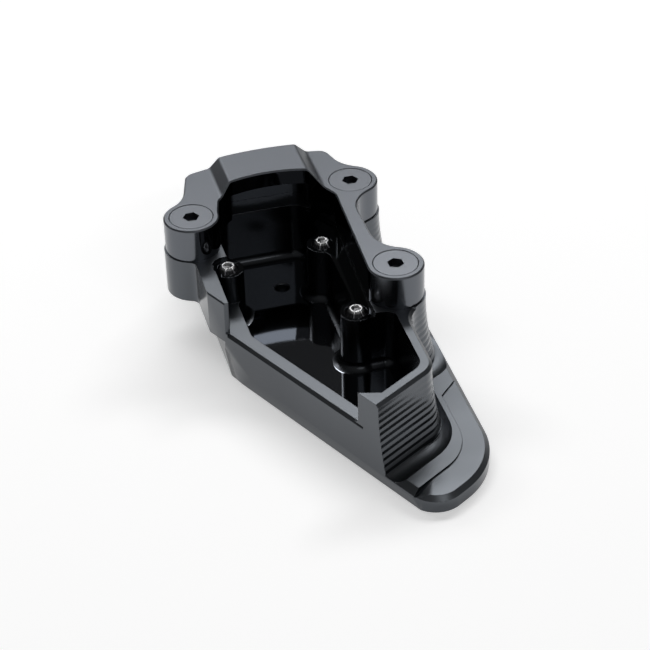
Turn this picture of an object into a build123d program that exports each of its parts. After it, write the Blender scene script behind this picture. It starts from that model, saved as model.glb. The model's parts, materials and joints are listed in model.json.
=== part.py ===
from build123d import *
import os
from math import atan2, cos, degrees, radians, sin, tan

# Kickstand foot enlarger: a wide machined shoe that is clamped under the small foot of a motorbike's
# side stand. The stand's foot drops into the pocket of the base, slides under the bridge of the clamp
# plate and is jacked tight against it by three set screws.
# Millimetres. The sole lies on Z = 0, the nose of the sole points to -Y and the bridge stands at +Y.

# Heights above the sole
base_height = 25.0
clamp_thickness = 10.0
bridge_rise = 2.8
low_rim_height = 15.0
pocket_floor = 7.5
seat_depth = 1.2
overhang_height = 12.0
sole_thickness = 5.2
border_drop = 0.5

# Clamp screws, countersunk M6 with a hexagon socket
screw_right_x = 21.4
screw_back_y = 42.4
screw_front_y = -1.4
screw_left_x = -26.0
screw_left_y = 37.1
screw_diameter = 6.0
screw_length = 20.0
screw_head_diameter = 12.0
screw_head_rim = 0.15
screw_head_sink = 0.1
screw_socket_width = 4.0
screw_socket_depth = 2.4
front_socket_turn = 30.0
screw_hole_play = 0.5
thread_play = 0.1
tapped_hole_spare = 1.0

# Set screws, M6 with a chamfered point above and a hexagon socket below
set_screw_diameter = 6.0
set_screw_length = 14.0
set_screw_rise = 1.2
set_screw_point_diameter = 3.4
set_socket_width = 3.0
set_socket_depth = 3.5

# Outline that the clamp and the base share at the parting face
lug_radius = 7.75
neck_radius = 10.0
waist_x = 19.1
back_left_x = -23.0
back_left_y = 58.9
back_right_x = 18.9
back_right_y = 60.3
back_bulge = 2.8
back_corner_radius = 3.4
flank_lean = 15.0
base_margin = 0.4

# Opening of the clamp
opening_right_gap = 2.1
opening_left_gap = 1.1
opening_right_y = 36.5
opening_left_y = 43.0
opening_back_y = 48.8
opening_bulge = 1.7
opening_corner_radius = 3.0
clamp_edge_chamfer = 0.4

# Bridge of the clamp
bridge_middle_x = -1.2
bridge_width = 22.6
bridge_foot_width = 29.0
bridge_foot_radius = 2.0
bridge_top_radius = 1.5
toe_room_height = 8.0
toe_room_depth = 7.5
toe_room_corner = 3.0

# Outer walls of the base
face_angle = 26.4
face_x = -23.76
face_y = 6.9
front_slope = 31.7
wall_right_x = 21.3
front_corner_y = -34.9
front_corner_radius = 6.5
terrace_count = 11
terrace_pitch = 1.9
terrace_slope_height = 0.9
terrace_step = 0.05
terrace_step_growth = 0.044
rim_chamfer = 0.85
strip_x = -26.8
strip_bend_y = 11.3
strip_inner_x = -22.8
strip_end_y = 7.6
strip_neck_radius = 3.0
strip_chamfer = 0.4
lower_left_x = -24.3
lower_left_taper = 1.3
lower_left_taper_height = 9.0
face_bevel_left_height = 5.0
face_bevel_post_height = 3.0
face_bevel_depth = 0.9
facet_top_distance = 1.5
facet_top_height = 10.2
facet_foot_distance = 8.2
facet_foot_height = 5.5
facet_depth = 1.2

# Sole
sole_right_x = 34.2
sole_corner_y = -52.25
sole_corner_radius = 24.0
sole_back_y = 46.0
sole_back_radius = 9.0
sole_nose_radius = 8.0
sole_edge_chamfer = 1.75
border_front_gap = 13.3
border_right_x = 27.5
border_corner_radius = 16.0
border_end_y = -23.4
groove_radius = 5.0
groove_depth = 1.7
groove_front_gap = 5.1
groove_right_x = 22.3
groove_lug_gap = 4.1
nose_facet_width = 7.2
nose_facet_end_gap = 18.8
nose_facet_height = 3.2

# Pocket of the base
rim_thickness = 2.6
low_rim_width = 4.4
pocket_left_x = -17.65
pocket_back_y = 49.7
pocket_corner_radius = 5.0
pocket_tight_radius = 3.0
pocket_foot_radius = 2.6
ledge_x = 9.9
ledge_front_y = -8.5
post_lean = 16.5
post_foot_radius = 1.5
boss_radius = 4.4
boss_right_x = 9.3
boss_back_y = 29.4
boss_front_y = -4.8
boss_left_x = -18.9
boss_left_y = 25.1
drain_diameter = 3.8
drain_x = -1.6
drain_y = 34.6

# Levels, places and directions that follow from the sizes above
clamp_top = base_height + clamp_thickness
bridge_top = clamp_top + bridge_rise
seat_height = base_height - seat_depth
bridge_foot = bridge_foot_width / 2
opening_left_x = bridge_middle_x - bridge_foot - opening_left_gap
opening_right_x = bridge_middle_x + bridge_foot + opening_right_gap
far = 3 * (back_right_y - sole_corner_y)
outer_run = 1.0
touch = 0.01

left_screw = (screw_left_x, screw_left_y)
back_screw = (screw_right_x, screw_back_y)
front_screw = (screw_right_x, screw_front_y)
screw_places = [left_screw, back_screw, front_screw]
boss_places = [(boss_left_x, boss_left_y), (boss_right_x, boss_back_y), (boss_right_x, boss_front_y)]

face_run = (sin(radians(face_angle)), -cos(radians(face_angle)))
face_out = (-cos(radians(face_angle)), -sin(radians(face_angle)))


def on_face(distance, inset=0.0):
    """Point on the slanting left face, a distance along it from its left corner."""
    x = face_x + face_run[0] * distance - face_out[0] * inset
    y = face_y + face_run[1] * distance - face_out[1] * inset
    return (x, y)


def on_front(x, gap=0.0):
    """Point at this X on a line parallel to the front wall's rim, a gap outside it."""
    y = front_corner_y - (wall_right_x - x) * tan(radians(front_slope))
    return (x, y - gap / cos(radians(front_slope)))


def where_face_meets_front(gap=0.0, inset=0.0):
    """Crossing of the left face, moved in by inset, and the front line, moved out by gap."""
    start = on_face(0.0, inset)
    x = start[0] + far * face_run[0]
    line = Line(start, (x, start[1] + far * face_run[1]))
    front = Line(on_front(-far, gap), on_front(far, gap))
    point = line.find_intersection_points(front)[0]
    return (point.X, point.Y)


def disc(centre, radius):
    return Pos(*centre) * Circle(radius)


def slab(face, low, high):
    return extrude(Pos(0, 0, low) * face, high - low)


def nearest(shape, point):
    return shape.vertices().sort_by_distance(Vector(*point))[0]


def right_of_face():
    """Everything on the inner side of the slanting left face."""
    foot = on_face(-far)
    head = on_face(far)
    return Polygon(foot, head, (head[0] + 3 * far, head[1]), (foot[0] + 3 * far, foot[1]), align=None)


def round_corner(face, point, radius):
    return fillet(nearest(face, point), radius)


def shared_outline():
    """Outline at the parting face, with lugs and necks, running out past the left face."""
    lean = tan(radians(flank_lean))
    left_foot = (back_left_x - lean * (back_left_y - screw_left_y), screw_left_y)
    right_foot = (back_right_x + lean * (back_right_y - screw_back_y), screw_back_y)
    middle = ((back_left_x + back_right_x) / 2, (back_left_y + back_right_y) / 2 + back_bulge)
    strip_end = on_face(-outer_run, -outer_run)
    front_end = on_front(face_x + low_rim_width)
    edges = [
        Polyline(
            left_foot,
            left_screw,
            (strip_x, screw_left_y),
            (strip_x, strip_bend_y),
            strip_end,
            front_end,
            (wall_right_x, front_corner_y),
            (wall_right_x, screw_front_y),
            (waist_x, screw_front_y),
            (waist_x, screw_back_y),
            right_foot,
            (back_right_x, back_right_y),
        ),
        ThreePointArc((back_right_x, back_right_y), middle, (back_left_x, back_left_y)),
        Line((back_left_x, back_left_y), left_foot),
    ]
    outline = make_face(edges)
    for place in screw_places:
        outline += disc(place, lug_radius)
    return outline


def on_circle(vertex, centres, radius):
    """Whether a corner lies on one of these circles."""
    point = Vector(vertex.X, vertex.Y)
    return min(abs((point - Vector(*centre)).length - radius) for centre in centres) < touch


def finished_outline():
    """Shared outline with its necks and corners rounded."""
    outline = shared_outline()
    necks = [vertex for vertex in outline.vertices() if on_circle(vertex, screw_places, lug_radius)]
    strip_neck = nearest(outline, (strip_x, screw_left_y - lug_radius))
    wide_necks = [vertex for vertex in necks if vertex != strip_neck]
    outline = fillet(wide_necks, neck_radius)
    outline = round_corner(outline, (strip_x, screw_left_y - lug_radius), strip_neck_radius)
    outline = round_corner(outline, (strip_x, strip_bend_y), strip_neck_radius)
    outline = round_corner(outline, (back_left_x, back_left_y), back_corner_radius)
    outline = round_corner(outline, (back_right_x, back_right_y), back_corner_radius)
    outline = round_corner(outline, (wall_right_x, front_corner_y), front_corner_radius)
    return outline


def clamp_opening():
    """Opening of the clamp, which the stand's foot drops through, open to the front."""
    back_left = (bridge_middle_x - bridge_width / 2, opening_back_y - opening_bulge)
    back_right = (bridge_middle_x + bridge_width / 2, opening_back_y - opening_bulge)
    left_shoulder_point = (opening_left_x, opening_left_y)
    right_shoulder_point = (opening_right_x, opening_right_y)
    left_lug_side = screw_left_x + lug_radius
    right_lug_side = screw_right_x - lug_radius
    edges = [
        ThreePointArc(back_right, (bridge_middle_x, opening_back_y), back_left),
        Polyline(
            back_left,
            left_shoulder_point,
            (left_lug_side, screw_left_y),
            (left_lug_side, -far),
            (right_lug_side, -far),
            (right_lug_side, screw_front_y),
            right_shoulder_point,
            back_right,
        ),
    ]
    opening = make_face(edges)
    for corner in (back_left, back_right, left_shoulder_point, right_shoulder_point):
        opening = round_corner(opening, corner, opening_corner_radius)
    return opening


def sole_outline():
    """Outline of the wide sole, with its nose at the front and a plain sweep round the back lug."""
    gap = front_corner_y - sole_corner_y + (sole_right_x - wall_right_x) * tan(radians(front_slope))
    gap = gap * cos(radians(front_slope))
    nose = where_face_meets_front(gap)
    corner = (sole_right_x, on_front(sole_right_x, gap)[1])
    back_corner = (sole_right_x, sole_back_y)
    outline = Polygon(
        on_face(0.0),
        nose,
        corner,
        back_corner,
        (screw_right_x, screw_back_y + lug_radius + base_margin),
        (lower_left_x + lower_left_taper, screw_left_y),
        align=None,
    )
    outline = round_corner(outline, nose, sole_nose_radius)
    outline = round_corner(outline, corner, sole_corner_radius)
    return round_corner(outline, back_corner, sole_back_radius)


def wall_margin(level):
    """How far the base's wall stands outside the clamp at this terrace, in steps that grow downwards."""
    steps = terrace_step * level + terrace_step_growth * level * (level - 1) / 2
    return base_margin + steps


def terraced_wall(outline):
    """Outer wall as a stack of slices, each a little wider than the one above and sloping in to meet it."""
    lower_side = Pos(lower_left_x, 0) * Rectangle(2 * far, 4 * far, align=(Align.MIN, Align.CENTER))
    wall = slab(offset(outline, wall_margin(0)), base_height - terrace_pitch, base_height)
    for level in range(1, terrace_count):
        slope_top = base_height - terrace_pitch * level
        slope_foot = slope_top - terrace_slope_height
        low = slope_top - terrace_pitch if level < terrace_count - 1 else 0.0
        face = offset(outline, wall_margin(level))
        step = wall_margin(level) - wall_margin(level - 1)
        lean = degrees(atan2(step, terrace_slope_height))
        wall += slab(face, low, slope_foot)
        wall += extrude(Pos(0, 0, slope_foot) * face, terrace_slope_height, taper=lean)
    return wall & slab(right_of_face() & lower_side, 0.0, base_height)


def left_shoulder(outline):
    """Left lug and strip of the base, which overhang the narrower foot below them."""
    reach = Pos(pocket_left_x, 0) * Rectangle(far, 4 * far, align=(Align.MAX, Align.CENTER))
    shoulder = offset(outline, base_margin) & right_of_face() & reach
    return slab(shoulder, overhang_height, base_height)


def nose_facet(level):
    """Cut above the facet that slopes from the border, at this level, down to the left of the nose."""
    on_strip = (*where_face_meets_front(border_front_gap, nose_facet_width), level)
    front_end = (*where_face_meets_front(nose_facet_end_gap), level)
    foot = (*where_face_meets_front(border_front_gap), nose_facet_height)
    return outside_of([on_strip, front_end, foot])


def sole_plate():
    """Wide sole, chamfered round its top edge, with a lower border and a groove along the wall's foot."""
    plate = slab(sole_outline(), 0.0, sole_thickness)
    plate = chamfer(plate.faces().sort_by(Axis.Z)[-1].edges(), sole_edge_chamfer)
    border_corner = (border_right_x, on_front(border_right_x, border_front_gap)[1])
    inner_zone = Polygon(
        on_front(-far, border_front_gap),
        border_corner,
        (border_right_x, border_end_y),
        (border_right_x + far, border_end_y + far),
        (-far, border_end_y + far),
        align=None,
    )
    inner_zone = round_corner(inner_zone, border_corner, border_corner_radius)
    border = Rectangle(4 * far, 4 * far) - inner_zone
    border_level = sole_thickness - border_drop
    plate -= slab(border, border_level, far)
    plate -= nose_facet(border_level) & slab(border, 0.0, far)
    groove_level = sole_thickness - groove_depth + groove_radius
    groove_corner = (groove_right_x, on_front(groove_right_x, groove_front_gap)[1])
    run = FilletPolyline(
        on_front(face_x, groove_front_gap),
        groove_corner,
        (groove_right_x, screw_front_y),
        radius=front_corner_radius + groove_front_gap,
    )
    tool = Plane(run @ 0, z_dir=run % 0) * Circle(groove_radius)
    plate -= Pos(0, 0, groove_level) * sweep(tool, run)
    lug_groove = Torus(lug_radius + groove_lug_gap, groove_radius)
    plate -= Pos(*front_screw, groove_level) * lug_groove
    return plate


def pocket_front_left():
    """Corner of the pocket between the low rim and the front wall."""
    return where_face_meets_front(-rim_thickness, low_rim_width)


def pocket():
    """Deep pocket, with the ledge and the support bosses left standing, rounded in its corners and foot."""
    right = wall_right_x - rim_thickness
    corner = on_front(right, -rim_thickness)
    left_front = pocket_front_left()
    face_start = on_face(0.0, low_rim_width)
    bend = (pocket_left_x, face_start[1] + (face_start[0] - pocket_left_x) / tan(radians(face_angle)))
    wide_corners = [bend, corner, (ledge_x, pocket_back_y), (pocket_left_x, pocket_back_y)]
    area = Polygon(
        bend,
        left_front,
        corner,
        (right, ledge_front_y),
        (ledge_x, ledge_front_y),
        (ledge_x, pocket_back_y),
        (pocket_left_x, pocket_back_y),
        align=None,
    )
    for place in boss_places:
        area -= disc(place, boss_radius)
    for place in wide_corners:
        area = round_corner(area, place, pocket_corner_radius)
    tight_corners = [left_front, (right, ledge_front_y)]
    boss_corners = [vertex for vertex in area.vertices() if on_circle(vertex, boss_places, boss_radius)]
    tight_corners += [(vertex.X, vertex.Y) for vertex in boss_corners]
    for place in tight_corners:
        area = round_corner(area, place, pocket_tight_radius)
    cutter = slab(area, pocket_floor, clamp_top)
    return fillet(cutter.faces().sort_by(Axis.Z)[0].edges(), pocket_foot_radius)


def foot_seat():
    """Shallow seat that drops the ledge and the bosses below the parting face."""
    behind_ledge = Pos(0, ledge_front_y) * Rectangle(4 * far, far, align=(Align.CENTER, Align.MIN))
    seat = clamp_opening() & behind_ledge
    for place in boss_places:
        seat += disc(place, boss_radius)
    return slab(seat, seat_height, clamp_top)


def low_rim_step():
    """Step that leaves the left wall as a low rim, from the left boss to the post of the front wall."""
    post_corner = pocket_front_left()
    reach = strip_x
    post_end = (reach, post_corner[1] + (post_corner[0] - reach) * tan(radians(post_lean)))
    in_pocket = on_front((post_corner[0] + wall_right_x) / 2, -rim_thickness)
    step = Polygon(
        (strip_inner_x, boss_left_y),
        (strip_inner_x, strip_end_y),
        (reach, strip_end_y),
        post_end,
        post_corner,
        in_pocket,
        (pocket_left_x, boss_left_y),
        align=None,
    )
    cutter = slab(step, low_rim_height, clamp_top)
    floor_edges = cutter.faces().sort_by(Axis.Z)[0].edges()
    on_post = Vector(*post_corner, low_rim_height) + Vector(*post_end, low_rim_height)
    cutter = fillet(floor_edges.sort_by_distance(on_post / 2)[0], post_foot_radius)
    return cutter - slab(disc((boss_left_x, boss_left_y), boss_radius), 0.0, clamp_top)


def post_distance():
    """Distance along the left face from its left corner to the post."""
    corner = pocket_front_left()
    run = (corner[0] - face_x) * face_run[0] + (corner[1] - face_y) * face_run[1]
    return run - low_rim_width * tan(radians(face_angle - post_lean))


def chamfer_along_face(level, size, start, end):
    """Cut that chamfers an edge of the left face at this level, between two distances along it."""
    plane = Plane((*on_face(start), level), x_dir=(*face_out, 0), z_dir=(-face_run[0], -face_run[1], 0))
    profile = Polygon((-size, 0), (0, -size), (far, -size), (far, 0), align=None)
    return extrude(plane * profile, start - end)


def outside_of(points):
    """Block on the outer side of a plane through three points at the left face."""
    first, second, third = [Vector(*point) for point in points]
    normal = (second - first).cross(third - first)
    if normal.dot(Vector(*face_out, 0)) < 0:
        normal = -normal
    block = Box(far, far, far, align=(Align.CENTER, Align.CENTER, Align.MIN))
    return Plane(first, z_dir=normal) * block


def face_bevel():
    """Bevel along the foot of the left face, lower towards the front."""
    left_top = (*on_face(0.0), face_bevel_left_height)
    post_top = (*on_face(post_distance()), face_bevel_post_height)
    return outside_of([left_top, post_top, (*on_face(0.0, face_bevel_depth), 0.0)])


def corner_facet():
    """Facet at the left end of the left face's foot."""
    top = (*on_face(facet_top_distance), facet_top_height)
    foot = (*on_face(facet_foot_distance), facet_foot_height)
    return outside_of([top, foot, (*on_face(0.0, facet_depth), 0.0)])


def left_taper():
    """Slope that narrows the foot below the overhanging left lug."""
    profile = Polygon(
        (lower_left_x + lower_left_taper, 0),
        (lower_left_x, lower_left_taper_height),
        (lower_left_x, overhang_height),
        (lower_left_x - far, overhang_height),
        (lower_left_x - far, 0),
        align=None,
    )
    return extrude(Plane.XZ * profile, far, both=True)


def rim_edge_cut(outline):
    """Chamfer round the top of the front and right walls, ahead of the front lug."""
    top = offset(outline, base_margin)
    blank = slab(Rectangle(2 * far, 2 * far), base_height - rim_chamfer, base_height)
    bevelled = extrude(Pos(0, 0, base_height - rim_chamfer) * top, rim_chamfer, taper=45)
    ahead = Pos(0, screw_front_y - lug_radius) * Rectangle(4 * far, far, align=(Align.CENTER, Align.MAX))
    return (blank - bevelled) & slab(ahead, 0.0, clamp_top)


def bore(place, radius, low, high):
    return slab(disc(place, radius), low, high)


def base_shoe(outline):
    shoe = terraced_wall(outline) + sole_plate()
    shoe -= left_taper()
    shoe -= face_bevel()
    shoe -= corner_facet()
    shoe += left_shoulder(outline)
    shoe -= chamfer_along_face(base_height, strip_chamfer, -far, 0.0)
    shoe -= chamfer_along_face(low_rim_height, rim_chamfer, 0.0, post_distance() - post_foot_radius)
    shoe -= rim_edge_cut(outline)
    shoe -= pocket()
    shoe -= foot_seat()
    shoe -= low_rim_step()
    hole_foot = clamp_top - screw_head_sink - screw_length - tapped_hole_spare
    for place in screw_places:
        shoe -= bore(place, screw_diameter / 2 + thread_play / 2, hole_foot, clamp_top)
    for place in boss_places:
        shoe -= bore(place, set_screw_diameter / 2 + thread_play / 2, 0.0, clamp_top)
    shoe -= bore((drain_x, drain_y), drain_diameter / 2, 0.0, pocket_floor)
    return shoe


def clamp_plan(outline):
    """Horseshoe plan of the clamp, with round ends at the left and front lugs."""
    left_arm = Pos(bridge_middle_x, screw_left_y) * Rectangle(far, far, align=(Align.MAX, Align.MIN))
    right_arm = Pos(bridge_middle_x, screw_front_y) * Rectangle(far, far, align=(Align.MIN, Align.MIN))
    plan = (outline - clamp_opening()) & (left_arm + right_arm)
    for place in screw_places:
        plan += disc(place, lug_radius)
    return plan


def clamp_section():
    """Cross-section of the clamp, with the raised bridge and its sloping sides."""
    half = bridge_width / 2
    feet = [(bridge_middle_x - bridge_foot, clamp_top), (bridge_middle_x + bridge_foot, clamp_top)]
    tops = [(bridge_middle_x - half, bridge_top), (bridge_middle_x + half, bridge_top)]
    section = Polygon(
        (-far, base_height),
        (-far, clamp_top),
        feet[0],
        tops[0],
        tops[1],
        feet[1],
        (far, clamp_top),
        (far, base_height),
        align=None,
    )
    for corner in feet:
        section = round_corner(section, corner, bridge_foot_radius)
    for corner in tops:
        section = round_corner(section, corner, bridge_top_radius)
    return section


def outer_edges(faces):
    """Edges that belong to only one of these faces."""
    edges = [edge for face in faces for edge in face.edges()]
    return [edge for edge in edges if sum(edge.is_same(other) for other in edges) == 1]


def toe_room():
    """Room under the bridge for the toe of the stand's foot."""
    length = 2 * toe_room_depth + opening_bulge
    shape = Pos(bridge_middle_x, opening_back_y + toe_room_depth - length / 2) * RectangleRounded(
        bridge_width, length, toe_room_corner
    )
    return slab(shape, base_height, base_height + toe_room_height)


def clamp_plate(outline):
    plan = clamp_plan(outline)
    bar = extrude(Plane.XZ * clamp_section(), far, both=True)
    plate = bar & slab(plan, base_height, bridge_top)
    top_faces = [face for face in plate.faces() if face.normal_at().Z > touch]
    plate = chamfer(outer_edges(top_faces), clamp_edge_chamfer)
    plate -= toe_room()
    head_radius = screw_head_diameter / 2 + screw_head_sink + screw_head_rim
    hole_radius = screw_diameter / 2 + screw_hole_play / 2
    sink_depth = head_radius - hole_radius
    for place in screw_places:
        plate -= bore(place, hole_radius, base_height, clamp_top)
        plate -= Pos(*place, clamp_top - sink_depth / 2) * Cone(hole_radius, head_radius, sink_depth)
    return plate


def hexagon(width):
    return RegularPolygon(width / 2, 6, major_radius=False)


def clamp_screw():
    """Countersunk socket screw, with its head's top at Z = 0."""
    head = screw_head_diameter / 2
    shank = screw_diameter / 2
    head_height = screw_head_rim + head - shank
    profile = Polygon(
        (0, 0),
        (head, 0),
        (head, -screw_head_rim),
        (shank, -head_height),
        (shank, -screw_length),
        (0, -screw_length),
        align=None,
    )
    screw = revolve(Plane.XZ * profile, Axis.Z)
    return screw - slab(hexagon(screw_socket_width), -screw_socket_depth, 0.0)


def set_screw():
    """Set screw with its point at Z = 0 and its socket at the lower end."""
    radius = set_screw_diameter / 2
    point = set_screw_point_diameter / 2
    profile = Polygon(
        (0, 0),
        (point, 0),
        (radius, point - radius),
        (radius, -set_screw_length),
        (0, -set_screw_length),
        align=None,
    )
    body = revolve(Plane.XZ * profile, Axis.Z)
    return body - slab(hexagon(set_socket_width), -set_screw_length, set_socket_depth - set_screw_length)


shared = finished_outline()
screw = clamp_screw()
jack = set_screw()
screw_level = clamp_top - screw_head_sink
tip_level = seat_height + set_screw_rise
socket_turns = [0.0, 0.0, front_socket_turn]
placed_screws = [
    Pos(*place, screw_level) * Rot(0, 0, turn) * screw
    for place, turn in zip(screw_places, socket_turns)
]
nodes = {
    "base_shoe": base_shoe(shared),
    "clamp_plate": clamp_plate(shared),
    "clamp_screws": Compound(placed_screws),
    "support_set_screws": Compound([Pos(*place, tip_level) * jack for place in boss_places]),
}

# The origin lies on the sole, in the middle of the whole object's box
middle = Compound(list(nodes.values())).bounding_box().center()
centring = Pos(-middle.X, -middle.Y, 0)

os.makedirs("parts", exist_ok=True)
for name, shape in nodes.items():
    export_step(centring * shape, f"parts/{name}.step")
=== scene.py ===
# %% [markdown]
# Kickstand foot enlarger: a wide shoe milled from aluminium, with a clamp plate, three clamp screws and
# three set screws. The solids come from the imported frame, in metres, and stand on Z = 0 already. Here they
# get clean shading, their finishes, a floor, light and the photographer's camera, one step at a time.

# %% Load the frame, with a reader for its parts' boxes
import json
import math
import bpy
from mathutils import Matrix, Vector

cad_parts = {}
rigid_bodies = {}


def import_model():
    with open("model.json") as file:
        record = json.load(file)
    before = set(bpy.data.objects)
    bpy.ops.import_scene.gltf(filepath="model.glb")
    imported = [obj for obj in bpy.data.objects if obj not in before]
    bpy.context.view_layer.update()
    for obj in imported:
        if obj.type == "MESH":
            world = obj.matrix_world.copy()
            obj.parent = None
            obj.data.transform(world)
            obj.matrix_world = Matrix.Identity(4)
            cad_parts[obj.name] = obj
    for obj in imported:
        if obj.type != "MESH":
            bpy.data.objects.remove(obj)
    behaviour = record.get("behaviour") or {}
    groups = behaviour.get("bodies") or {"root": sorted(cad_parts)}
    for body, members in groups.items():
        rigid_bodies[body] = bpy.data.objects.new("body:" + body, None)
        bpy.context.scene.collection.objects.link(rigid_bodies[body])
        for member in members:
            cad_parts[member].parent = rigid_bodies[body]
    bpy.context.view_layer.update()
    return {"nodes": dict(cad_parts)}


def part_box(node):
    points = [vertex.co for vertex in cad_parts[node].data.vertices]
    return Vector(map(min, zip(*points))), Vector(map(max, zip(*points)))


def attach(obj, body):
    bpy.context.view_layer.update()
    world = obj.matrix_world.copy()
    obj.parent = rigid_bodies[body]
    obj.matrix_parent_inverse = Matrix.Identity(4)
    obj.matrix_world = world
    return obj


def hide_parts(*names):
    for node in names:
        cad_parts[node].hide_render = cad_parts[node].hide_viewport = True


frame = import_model()
bpy.ops.object.select_all(action="DESELECT")

# %% [markdown]
# Picking: by hand, edges and faces are picked with the mouse. A script could keep their numbers instead, but
# those change with every new build, so they are picked here by a test on their place and direction. The
# picks are made in object mode, and the piece is then left in edit mode, ready for the next operator.

# %% Pick edges and faces by a test
MM = 0.001
level_play = 0.02 * MM
faces_up = 0.99


def work_on(piece):
    """Selects one piece alone and makes it the active one."""
    bpy.ops.object.select_all(action="DESELECT")
    piece.select_set(True)
    bpy.context.view_layer.objects.active = piece


def clear_picks(kind):
    """Drops all picks on the active piece, and sets the kind that is picked next."""
    bpy.ops.object.mode_set(mode="EDIT")
    bpy.ops.mesh.select_mode(type=kind)
    bpy.ops.mesh.select_all(action="DESELECT")
    bpy.ops.object.mode_set(mode="OBJECT")


def pick_edges(piece, wanted):
    """Goes to edit mode with just those edges picked whose two ends pass the test."""
    clear_picks("EDGE")
    corners = [corner.co.copy() for corner in piece.data.vertices]
    for edge in piece.data.edges:
        edge.select = bool(wanted(corners[edge.vertices[0]], corners[edge.vertices[1]]))
    bpy.ops.object.mode_set(mode="EDIT")


def pick_faces(piece, wanted):
    """Goes to edit mode with just those faces picked whose middle and normal pass the test."""
    clear_picks("FACE")
    for face in piece.data.polygons:
        face.select = bool(wanted(face.center, face.normal))
    bpy.ops.object.mode_set(mode="EDIT")


def all_at(height, ends, play=level_play):
    """Whether all these corners lie at one height."""
    return all(abs(end.z - height) < play for end in ends)


def level_face(height):
    """Test for the faces that look straight up at one height."""
    return lambda middle, normal: normal.z > faces_up and all_at(height, [middle])


print("Heights count as equal within", level_play / MM, "mm")

# %% [markdown]
# Shading: a round wall of the solids is many flat strips, and each would show in the gloss. Remodelling the
# parts with more faces could cure that, but smooth shading up to a set angle keeps every size as it is. A
# Weighted Normal modifier then lets the large flat faces rule at their borders, so that they stay flat.

# %% Shade a piece cleanly
smooth_angle = math.radians(28.0)


def shade_cleanly(piece, crisp=None):
    """Smooth up to the set angle, with the large flat faces ruling and the edges of the test kept crisp."""
    if piece.data.has_custom_normals:
        bpy.ops.mesh.customdata_custom_splitnormals_clear()
    bpy.ops.object.shade_smooth_by_angle(angle=smooth_angle)
    if crisp:
        pick_edges(piece, crisp)
        bpy.ops.mesh.mark_sharp()
        bpy.ops.object.mode_set(mode="OBJECT")
    weighted = piece.modifiers.new("Flat faces rule", "WEIGHTED_NORMAL")
    weighted.keep_sharp = True
    bpy.ops.object.modifier_apply(modifier=weighted.name)


print("Edges of up to", round(math.degrees(smooth_angle)), "degrees are shaded smooth")

# %% [markdown]
# Machined pieces: the base, the clamp and the clamp screws have their true form in the solids already. They
# could be modelled again, but a copy of each node keeps its sizes. The frame's meshes are loose triangles, so
# each copy is merged into one skin before it is shaded, and then stands for its node in the picture.

# %% Copy the machined pieces
weld_distance = 0.0005 * MM


def skin_of(node, name):
    """Copy of a node, merged and shaded smooth, which stands for it in the picture."""
    work_on(frame["nodes"][node])
    bpy.ops.object.duplicate()
    piece = bpy.context.object
    piece.name = name
    bpy.ops.object.parent_clear(type="CLEAR_KEEP_TRANSFORM")
    for key in list(piece.keys()):
        del piece[key]
    bpy.ops.object.mode_set(mode="EDIT")
    bpy.ops.mesh.select_all(action="SELECT")
    bpy.ops.mesh.remove_doubles(threshold=weld_distance)
    bpy.ops.object.mode_set(mode="OBJECT")
    shade_cleanly(piece)
    piece.data.materials.clear()
    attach(piece, "root")
    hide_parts(node)
    print(name, "has", len(piece.data.polygons), "faces and", len(piece.data.vertices), "corners")
    return piece


base = skin_of("base_shoe", "milled_base")
clamp = skin_of("clamp_plate", "milled_clamp")
screws = skin_of("clamp_screws", "countersunk_screws")

# %% [markdown]
# Drain: water leaves the pocket through a small hole in its floor. A sharp edge would chip in the dye bath,
# so it was broken with a countersink, which catches a glint. The solid has a plain hole, and here the
# edges of its upper rim are picked by their distance from the hole's axis and bevelled. A bevel slides
# along the edges round it, and thin triangles would fold over, so the flat floor's triangles are first
# dissolved into a few large faces, and afterwards cut into triangles again.

# %% Break the edge of the drain
drain_axis = Vector((-1.625, 33.114)) * MM
drain_radius = 1.9 * MM
drain_break = 0.45 * MM
break_steps = 2
pocket_floor = 7.5 * MM
flat_angle = math.radians(0.5)
on_pocket_floor = level_face(pocket_floor)


def from_drain_axis(end):
    return (end.to_2d() - drain_axis).length


def on_drain_rim(*ends):
    at_radius = all(abs(from_drain_axis(end) - drain_radius) < level_play for end in ends)
    return at_radius and all_at(pocket_floor, ends)


work_on(base)
pick_faces(base, on_pocket_floor)
bpy.ops.mesh.dissolve_limited(angle_limit=flat_angle)
bpy.ops.object.mode_set(mode="OBJECT")
pick_edges(base, on_drain_rim)
bpy.ops.mesh.bevel(offset=drain_break, segments=break_steps, affect="EDGES")
bpy.ops.object.mode_set(mode="OBJECT")
pick_faces(base, on_pocket_floor)
bpy.ops.mesh.quads_convert_to_tris(quad_method="BEAUTY", ngon_method="BEAUTY")
bpy.ops.object.mode_set(mode="OBJECT")
print("Drain's edge broken, the base now has", len(base.data.polygons), "faces")

# %% [markdown]
# Terraces: the base's outer wall was milled in level steps that lean in a little, one below the other.
# The angle between two of them is smaller than the smoothing angle, so smooth shading would smear them into
# each other. A smaller angle would show the facets of the round walls instead, so the edges that lie level
# on a terrace are picked by their height and marked sharp, and the shading is made again. The ring where
# the drain's broken edge meets the flat floor is marked too, or the floor would bend in the gloss there.

# %% Keep the terrace edges crisp
terrace_count = 11
terrace_pitch = 1.9 * MM
terrace_slope_height = 0.9 * MM
terrace_play = 0.004 * MM
base_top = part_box("base_shoe")[1][2]
slope_tops = [base_top - terrace_pitch * level for level in range(1, terrace_count)]
terrace_levels = slope_tops + [top - terrace_slope_height for top in slope_tops]
drain_reach = drain_radius + 2 * drain_break


def on_terrace_edge(*ends):
    return any(all_at(level, ends, terrace_play) for level in terrace_levels)


def round_drain_mouth(*ends):
    return all(from_drain_axis(end) < drain_reach for end in ends) and all_at(pocket_floor, ends)


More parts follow.
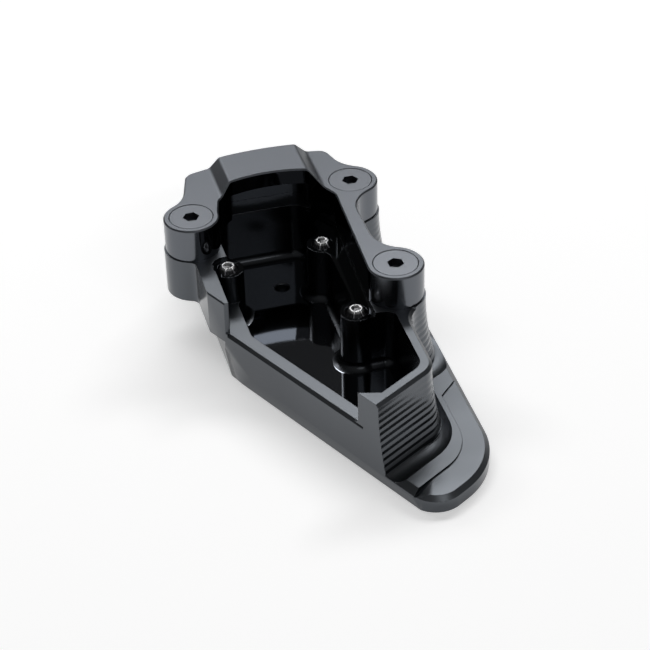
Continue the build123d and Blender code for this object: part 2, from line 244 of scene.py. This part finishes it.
shade_cleanly(base, lambda *ends: on_terrace_edge(*ends) or round_drain_mouth(*ends))
print("Edges stay crisp at", len(terrace_levels), "heights, one above the other")

# %% [markdown]
# Set screws: the stand's foot sits on three M6 set screws, which come up through the bosses. Each has a
# knurled cup point: a short cone with a hollow in its end and a ring of small teeth that bite into the foot.
# The solid has the plain cone, and a thread would be hidden in the boss, so one screw is modelled here
# from a cylinder: its end is drawn out to the cone, the cup is inset and pushed in, and every other corner
# of the cone's foot is pulled down to make the teeth.

# %% Model one set screw with its knurled cup point
set_screw_radius = 3.0 * MM
set_screw_length = 14.0 * MM
point_height = 1.3 * MM
point_radius = 1.7 * MM
cup_wall = 0.35 * MM
cup_depth = 0.5 * MM
cup_floor_share = 0.45
tooth_count = 22
tooth_depth = 0.42 * MM

lowest_corner, highest_corner = (Vector(corner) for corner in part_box("support_set_screws"))
point_top = highest_corner.z
cone_foot = point_top - point_height
screw_bottom = point_top - set_screw_length


def draw_out(rise, narrowing):
    """Extrudes the picked face along the screw's axis and narrows its new end."""
    bpy.ops.mesh.extrude_region_move(TRANSFORM_OT_translate={"value": (0, 0, rise)})
    bpy.ops.transform.resize(value=(narrowing, narrowing, 1), center_override=(0, 0, point_top))


def cup_point_screw():
    """Set screw on the Z axis, at its real height, with a toothed cup point above."""
    shank = cone_foot - screw_bottom
    bpy.ops.object.select_all(action="DESELECT")
    bpy.ops.mesh.primitive_cylinder_add(
        vertices=2 * tooth_count, radius=set_screw_radius, depth=shank,
        location=(0, 0, screw_bottom + shank / 2),
    )
    piece = bpy.context.object
    bpy.ops.object.transform_apply(location=True)
    pick_faces(piece, level_face(cone_foot))
    draw_out(point_height, point_radius / set_screw_radius)
    bpy.ops.mesh.inset(thickness=cup_wall)
    draw_out(-cup_depth, cup_floor_share)
    clear_picks("VERT")
    for corner in piece.data.vertices:
        around = math.atan2(corner.co.y, corner.co.x) / (2 * math.pi)
        on_foot = all_at(cone_foot, [corner.co], weld_distance)
        corner.select = on_foot and round(around * 2 * tooth_count) % 2 == 0
    bpy.ops.object.mode_set(mode="EDIT")
    bpy.ops.transform.translate(value=(0, 0, -tooth_depth))
    bpy.ops.object.mode_set(mode="OBJECT")
    return piece


first_screw = cup_point_screw()
print("Set screw from", round(screw_bottom / MM, 2), "to", round(point_top / MM, 2), "mm")

# %% [markdown]
# Socket: the screw is turned from below, with a key in a hexagon socket. The socket could be inset and pushed
# in as the cup was, but the end would need six even sides for that, so a hexagonal bar is cut out of it with
# a Boolean modifier, and the shading is made clean.

# %% Cut the socket for the key
socket_width = 3.0 * MM
socket_depth = 3.5 * MM
key_sides = 6


def cut_socket(piece):
    """Cuts the hexagon for the key from the lower end."""
    bpy.ops.object.select_all(action="DESELECT")
    bpy.ops.mesh.primitive_cylinder_add(
        vertices=key_sides, radius=socket_width / math.sqrt(3), depth=2 * socket_depth,
        location=(0, 0, screw_bottom),
    )
    key = bpy.context.object
    bpy.ops.object.transform_apply(location=True)
    work_on(piece)
    cut = piece.modifiers.new("Hexagon socket", "BOOLEAN")
    cut.object = key
    bpy.ops.object.modifier_apply(modifier=cut.name)
    bpy.data.objects.remove(key)


cut_socket(first_screw)
shade_cleanly(first_screw)
print("Set screw has", len(first_screw.data.polygons), "faces")

# %% [markdown]
# The three set screws are alike, so they are copies of that one, each with its own mesh and its place in the
# mesh, and their objects stay at the origin. Their places could be typed in, but they follow from the node's
# box: two are in line on the right, and the third stands on the left, a little nearer to the front than the
# back one.

# %% Copy the set screw to its three places
left_lag = 4.3 * MM
right_x = highest_corner.x - set_screw_radius
back_y = highest_corner.y - set_screw_radius
screw_places = {
    "set_screw_left": (lowest_corner.x + set_screw_radius, back_y - left_lag),
    "set_screw_back": (right_x, back_y),
    "set_screw_front": (right_x, lowest_corner.y + set_screw_radius),
}
set_screws = []
for name, (x, y) in screw_places.items():
    piece = first_screw.copy()
    piece.data = first_screw.data.copy()
    piece.name = name
    bpy.context.scene.collection.objects.link(piece)
    piece.data.transform(Matrix.Translation((x, y, 0)))
    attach(piece, "root")
    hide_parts("support_set_screws")
    set_screws.append(piece)
bpy.data.objects.remove(first_screw)
print("Set screws at", [(round(x / MM, 2), round(y / MM, 2)) for x, y in screw_places.values()], "mm")

# %% [markdown]
# Finishes are node materials. Colours are written as sRGB hex values, as a paint card gives them, and one
# function turns them to the linear values that the shader works in. Nodes could be placed one by one in the
# editor, but one small function that adds a node with its settings and links lets each finish read as a
# short list.

# %% Helpers for the finishes
def linear(hex_colour):
    """Linear RGBA of an sRGB hex value."""
    channels = [int(hex_colour[place:place + 2], 16) / 255 for place in (1, 3, 5)]
    return [c / 12.92 if c <= 0.04045 else ((c + 0.055) / 1.055) ** 2.4 for c in channels] + [1.0]


def add_node(tree, kind, settings=None, links=None, **values):
    """Adds a node, sets its settings and sockets, and links sockets to other nodes' outputs."""
    node = tree.nodes.new(kind)
    for key, value in (settings or {}).items():
        setattr(node, key, value)
    for key, value in values.items():
        node.inputs[key.replace("_", " ")].default_value = value
    for key, output in (links or {}).items():
        tree.links.new(output, node.inputs[key])
    return node


def new_finish(name):
    """Empty node material with its output."""
    finish = bpy.data.materials.new(name)
    finish.use_nodes = True
    finish.node_tree.nodes.clear()
    return finish, finish.node_tree, finish.node_tree.nodes.new("ShaderNodeOutputMaterial")


white = linear("#ffffff")
print("White is", white)

# %% [markdown]
# Black anodised aluminium: milled, lightly etched, then dyed in a hard oxide skin. To the eye it is a
# black with a cool satin gloss, a fine grain from the etch and faint lines from the cutter. A plain glossy
# black would look like plastic, so the metal's reflection does the work. Faces that the cutter's end made
# are duller than walls that its side made, so the roughness follows the way a face points, with slow
# clouds over it. Rounded corners too small to model come from the Bevel node. The real grain and lines are
# under a tenth of a millimetre, too fine to show, so both are drawn several times as coarse.

# %% Black anodised aluminium
etch_grain = 0.35 * MM
cutter_lines = 0.6 * MM
mark_depth = 0.02 * MM
line_share = 0.6
cloud_size = 18 * MM
cloud_change = 0.08
edge_break = 0.22 * MM
edge_samples = 4
noise_low, noise_high = 0.3, 0.7
wave_band = math.pi / 10  # spacing of the Wave texture's bands at a scale of 1


def black_anodised(name, dye_and_painted_tone, line_axis, walls, tops, bump, tilt_range=(0.15, 0.75)):
    """Dyed metal whose roughness goes from walls to tops as a face tilts up through the range."""
    finish, tree, output = new_finish(name)
    spot = add_node(tree, "ShaderNodeTexCoord")
    place = spot.outputs["Object"]
    grain = add_node(tree, "ShaderNodeTexNoise", links={"Vector": place}, Scale=1 / etch_grain, Detail=3.0)
    lines = add_node(
        tree, "ShaderNodeTexWave", {"bands_direction": line_axis}, {"Vector": place},
        Scale=wave_band / cutter_lines, Distortion=1.5, Detail=2.0,
    )
    clouds = add_node(tree, "ShaderNodeTexNoise", links={"Vector": place}, Scale=1 / cloud_size, Detail=2.0)
    facing = add_node(tree, "ShaderNodeSeparateXYZ", links={"Vector": spot.outputs["Normal"]})
    upright = add_node(
        tree, "ShaderNodeMapRange", links={"Value": facing.outputs["Z"]},
        From_Min=tilt_range[0], From_Max=tilt_range[1], To_Min=walls, To_Max=tops,
    )
    patchy = add_node(
        tree, "ShaderNodeMapRange", links={"Value": clouds.outputs["Fac"]},
        From_Min=noise_low, From_Max=noise_high, To_Min=1 - cloud_change, To_Max=1 + cloud_change,
    )
    satin = add_node(
        tree, "ShaderNodeMath", {"operation": "MULTIPLY"},
        {0: upright.outputs["Result"], 1: patchy.outputs["Result"]},
    )
    edge = add_node(tree, "ShaderNodeBevel", {"samples": edge_samples}, Radius=edge_break)
    lined = add_node(
        tree, "ShaderNodeBump", links={"Height": lines.outputs["Fac"], "Normal": edge.outputs["Normal"]},
        Strength=line_share * bump, Distance=mark_depth,
    )
    grained = add_node(
        tree, "ShaderNodeBump", links={"Height": grain.outputs["Fac"], "Normal": lined.outputs["Normal"]},
        Strength=bump, Distance=mark_depth,
    )
    shader = add_node(
        tree, "ShaderNodeBsdfPrincipled",
        links={"Roughness": satin.outputs["Value"], "Normal": grained.outputs["Normal"]},
        Base_Color=linear(dye_and_painted_tone), Metallic=1.0,
    )
    tree.links.new(shader.outputs["BSDF"], output.inputs["Surface"])
    print("Finish", finish.name)
    return finish


base_finish = black_anodised(
    "Black anodised aluminium, base", dye_and_painted_tone="#585b5f", line_axis="Z", walls=0.20, tops=0.38, bump=0.10,
)
clamp_finish = black_anodised(
    "Black anodised aluminium, clamp", dye_and_painted_tone="#63666b", line_axis="X", walls=0.20, tops=0.41, bump=0.10,
)
base.data.materials.append(base_finish)
clamp.data.materials.append(clamp_finish)

# %% [markdown]
# Pocket: its walls face each other, and light that has met the black dye twice is nearly gone, so on the
# real object they are almost black. Here the lamps reach them more easily, so they are painted darker than
# the rest of the block: painted shade, not a dye of their own. The floor has the smooth gloss of a fine cut
# and mirrors what is round it, and its colour is painted lighter than the rest, which brightens what it
# mirrors: painted reflection on top of its real gloss. Both could be pieces of their own, but the real part
# is one block, so they are further material slots on the same skin. The floor is picked by its height, and
# the picks then grow over its rounded foot and its walls as far as the first sharp edge. The ledge and the
# tops of the bosses are added by their height.

# %% Pocket in painted shade, and its lighter floor
boss_top = 23.8 * MM
# Walls, rounded feet, ledge and boss tops are painted darker than the block: painted shade.
pocket_painted_shade = black_anodised(
    "Black anodised aluminium, pocket in painted shade", dye_and_painted_tone="#35373a", line_axis="Y", walls=0.26, tops=0.045, bump=0.01,
    tilt_range=(0.985, 0.998),
)
# The floor is painted lighter than the block, which brightens what it mirrors: painted reflection.
smooth_floor_painted_brighter = black_anodised(
    "Black anodised aluminium, fine milled floor", dye_and_painted_tone="#6c6f74", line_axis="Y", walls=0.045, tops=0.045,
    bump=0.01,
)


def give_picked(piece, finish):
    """Gives the faces that are picked in edit mode a finish of their own."""
    if finish.name not in piece.data.materials:
        piece.data.materials.append(finish)
    slot = piece.data.materials.find(finish.name)
    piece.active_material_index = slot
    bpy.ops.object.material_slot_assign()
    bpy.ops.object.mode_set(mode="OBJECT")
    taken = sum(face.area for face in piece.data.polygons if face.material_index == slot)
    print(piece.name, "has", round(taken / MM**2), "square mm of", finish.name)


work_on(base)
pick_faces(base, on_pocket_floor)
bpy.ops.mesh.select_linked(delimit={"SHARP"})
give_picked(base, pocket_painted_shade)
pick_faces(base, level_face(boss_top))
give_picked(base, pocket_painted_shade)
pick_faces(base, on_pocket_floor)
give_picked(base, smooth_floor_painted_brighter)

# %% [markdown]
# Opening of the clamp: the stand's foot passes through it. Its inside is as smooth as the pocket's floor, and
# the bridge's front face passes light on to that floor like a mirror. Like the floor, its colour is painted
# lighter than the rest of the clamp, which brightens what it mirrors: painted reflection on top of its real
# gloss. The inside is a second slot on the clamp. Its outline is long and many-sided, so it isn't picked by
# place: all upright faces that look towards the middle of the opening belong to it.

# %% Inside of the clamp
opening_middle = Vector((-1.2, 19.4, 31.0)) * MM
looks_inward = 0.35
upright_below = 0.5
# The opening is painted lighter than the clamp, which brightens what it mirrors: painted reflection.
smooth_opening_painted_brighter = black_anodised(
    "Black anodised aluminium, fine milled opening", dye_and_painted_tone="#6c6f74", line_axis="Z", walls=0.045, tops=0.045,
    bump=0.01,
)


def inside_clamp(middle, normal):
    inward = (opening_middle - middle).to_2d().normalized()
    return abs(normal.z) < upright_below and normal.to_2d().dot(inward) > looks_inward


work_on(clamp)
pick_faces(clamp, inside_clamp)
give_picked(clamp, smooth_opening_painted_brighter)

# %% [markdown]
# Screws: black oxide on steel is a little lighter and flatter than the anodised plate. Its colour is painted
# darker towards the bottom of the head, down in the socket: painted shade. The set screws are bare steel:
# bright at the point, and painted dark lower down, among the teeth: painted shade. Two plain colours would
# need a border between them, so one steel changes its colour with height. Marks from turning roughen its
# gloss; they are drawn coarser than real ones, to show.

# %% Screw steels
turning_marks = 0.25 * MM
turning_depth = 0.03 * MM
turning_bump = 0.25
mix_factor, mix_low, mix_high, mix_result = 0, 6, 7, 2  # places of the colour sockets on a Mix node


def screw_steel(name, painted_shade_colour, high_colour, low, high, smooth, rough):
    """Steel darkening between two heights as painted shade, with marks from turning in its gloss."""
    finish, tree, output = new_finish(name)
    place = add_node(tree, "ShaderNodeTexCoord").outputs["Object"]
    height = add_node(tree, "ShaderNodeSeparateXYZ", links={"Vector": place})
    # Painted shade: the colour darkens from the high height down to the low one.
    painted_shade_by_height = add_node(
        tree, "ShaderNodeMapRange", links={"Value": height.outputs["Z"]}, From_Min=low, From_Max=high,
    )
    colour = add_node(tree, "ShaderNodeMix", {"data_type": "RGBA"}, {mix_factor: painted_shade_by_height.outputs["Result"]})
    colour.inputs[mix_low].default_value = linear(painted_shade_colour)
    colour.inputs[mix_high].default_value = linear(high_colour)
    marks = add_node(tree, "ShaderNodeTexNoise", links={"Vector": place}, Scale=1 / turning_marks, Detail=4.0)
    satin = add_node(
        tree, "ShaderNodeMapRange", links={"Value": marks.outputs["Fac"]},
        From_Min=noise_low, From_Max=noise_high, To_Min=smooth, To_Max=rough,
    )
    edge = add_node(tree, "ShaderNodeBevel", {"samples": edge_samples}, Radius=edge_break)
    rubbed = add_node(
        tree, "ShaderNodeBump", links={"Height": marks.outputs["Fac"], "Normal": edge.outputs["Normal"]},
        Strength=turning_bump, Distance=turning_depth,
    )
    shader = add_node(
        tree, "ShaderNodeBsdfPrincipled",
        links={
            "Base Color": colour.outputs[mix_result], "Roughness": satin.outputs["Result"],
            "Normal": rubbed.outputs["Normal"],
        },
        Metallic=1.0,
    )
    tree.links.new(shader.outputs["BSDF"], output.inputs["Surface"])
    print("Finish", finish.name)
    return finish


head_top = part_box("clamp_screws")[1][2]
head_height = 3.3 * MM
# The heads are painted darker down in the socket: painted shade.
black_steel = screw_steel(
    "Black oxide steel", painted_shade_colour="#515458", high_colour="#686b70", low=head_top - head_height,
    high=head_top, smooth=0.32, rough=0.42,
)
# The points are painted dark below their middle, among the teeth: painted shade.
point_steel = screw_steel(
    "Bare bright steel", painted_shade_colour="#2f2f31", high_colour="#c4c4c5", low=cone_foot + point_height / 2,
    high=point_top, smooth=0.16, rough=0.34,
)
screws.data.materials.append(black_steel)
for piece in set_screws:
    piece.data.materials.clear()
    piece.data.materials.append(point_steel)

# %% [markdown]
# Floor: a product shot on seamless white paper. The floor is a real pale surface, so that it takes the
# object's soft shadow. The light is set for the black metal, and under it the paper would come out light
# grey. Stronger lamps would wash out the metal, so the paper adds some plain white of its own instead, only
# where the camera sees it, straight or in a gloss or a glass. The shadow stays.

# %% White paper floor
floor_width = 6.0
paper_glow = 0.40

bpy.ops.object.select_all(action="DESELECT")
bpy.ops.mesh.primitive_plane_add(size=floor_width, location=(0, 0, 0))
floor = bpy.context.object
floor.name = "paper_floor"
paper, paper_tree, paper_output = new_finish("White paper")
paper_shader = add_node(
    paper_tree, "ShaderNodeBsdfPrincipled",
    Base_Color=linear("#f8f8f8"), Roughness=0.8, Specular_IOR_Level=0.1,
)
seen = add_node(paper_tree, "ShaderNodeLightPath")
seen_or_mirrored = add_node(
    paper_tree, "ShaderNodeMath", {"operation": "MAXIMUM"},
    {0: seen.outputs["Is Camera Ray"], 1: seen.outputs["Is Glossy Ray"]},
)
seen_at_all = add_node(
    paper_tree, "ShaderNodeMath", {"operation": "MAXIMUM"},
    {0: seen_or_mirrored.outputs["Value"], 1: seen.outputs["Is Transmission Ray"]},
)
white_share = add_node(
    paper_tree, "ShaderNodeMath", {"operation": "MULTIPLY"}, {0: seen_at_all.outputs["Value"]},
)
white_share.inputs[1].default_value = paper_glow
glow = add_node(
    paper_tree, "ShaderNodeEmission", links={"Strength": white_share.outputs["Value"]}, Color=white,
)
lit_paper = add_node(
    paper_tree, "ShaderNodeAddShader", links={0: paper_shader.outputs["BSDF"], 1: glow.outputs["Emission"]},
)
paper_tree.links.new(lit_paper.outputs["Shader"], paper_output.inputs["Surface"])
floor.data.materials.append(paper)
print("Floor", floor_width, "m wide")

# %% [markdown]
# Room: an even grey world would light all sides alike and flatten the black metal. This one is dim behind
# the object, where the metal then keeps its depth, and lighter behind the camera, where it fills the shadow.

# %% Room round the floor
front_light, back_light = 0.22, 0.06
front_end, back_end = -0.4, 0.5

world = bpy.data.worlds.new("Studio room")
bpy.context.scene.world = world
world.use_nodes = True
room = world.node_tree
room.nodes.clear()
outlook = add_node(room, "ShaderNodeTexCoord")
depth = add_node(room, "ShaderNodeSeparateXYZ", links={"Vector": outlook.outputs["Generated"]})
brightness = add_node(
    room, "ShaderNodeMapRange", links={"Value": depth.outputs["Y"]},
    From_Min=front_end, From_Max=back_end, To_Min=front_light, To_Max=back_light,
)
backdrop = add_node(
    room, "ShaderNodeBackground", links={"Strength": brightness.outputs["Result"]}, Color=white,
)
room_output = room.nodes.new("ShaderNodeOutputWorld")
room.links.new(backdrop.outputs["Background"], room_output.inputs["Surface"])
print("Room from", front_light, "in front to", back_light, "behind")

# %% [markdown]
# Light: a long strip softbox hangs above and behind the object, where the level tops mirror it to the camera,
# which turns the black tops grey. A deep softbox would light the groove in the sole as well, so it is narrow.
# A small strip lamp beside the camera does little to the satin faces, but the bridge's smooth front face and
# the pocket's floor pass it on like two mirrors. Area lamps are used because they are what a softbox is: a
# rectangle of one brightness.

# %% Softbox and lamp
def softbox(name, place, target, width, depth, power):
    """Rectangular lamp at a place, in metres and watts, which looks at a target."""
    lamp = bpy.data.lights.new(name, "AREA")
    lamp.shape = "RECTANGLE"
    lamp.size = width
    lamp.size_y = depth
    lamp.energy = power
    stand = bpy.data.objects.new(name, lamp)
    bpy.context.scene.collection.objects.link(stand)
    stand.location = place
    stand.rotation_euler = (Vector(target) - Vector(place)).to_track_quat("-Z", "Y").to_euler()
    print(name, "gives", round(power / (math.pi * width * depth), 2), "times white")


softbox("Back softbox", place=(0.12, 1.16, 1.26), target=(0, 0, 0), width=2.4, depth=0.32, power=22.0)
softbox(
    "Front lamp", place=(0.171, -0.70, 0.618), target=(0, 0.046, 0.033), width=0.50, depth=0.07, power=0.68,
)

# %% [markdown]
# Camera: the photograph looks down at the front left of the object through a long lens. A camera set by eye
# would leave edges a little off, so its place, turn and lens were worked out from the object's straight edges
# and the screws' circles.

# %% Camera
camera_place = Vector((-102.525, -406.786, 323.7)) * MM
camera_heading = math.radians(-14.44)
camera_tilt = math.radians(53.82)
camera_roll = math.radians(-1.66)
camera_lens = 106.3
film_width = 36.0

camera_data = bpy.data.cameras.new("Camera")
camera_data.lens = camera_lens
camera_data.sensor_width = film_width
camera = bpy.data.objects.new("Camera", camera_data)
bpy.context.scene.collection.objects.link(camera)
turn = Matrix.Rotation(camera_heading, 4, "Z") @ Matrix.Rotation(camera_tilt, 4, "X")
camera.matrix_world = Matrix.Translation(camera_place) @ turn @ Matrix.Rotation(camera_roll, 4, "Z")
bpy.context.scene.camera = camera
bpy.context.scene.view_settings.view_transform = "Standard"
print("Camera", round(camera_place.length, 3), "m from the origin")
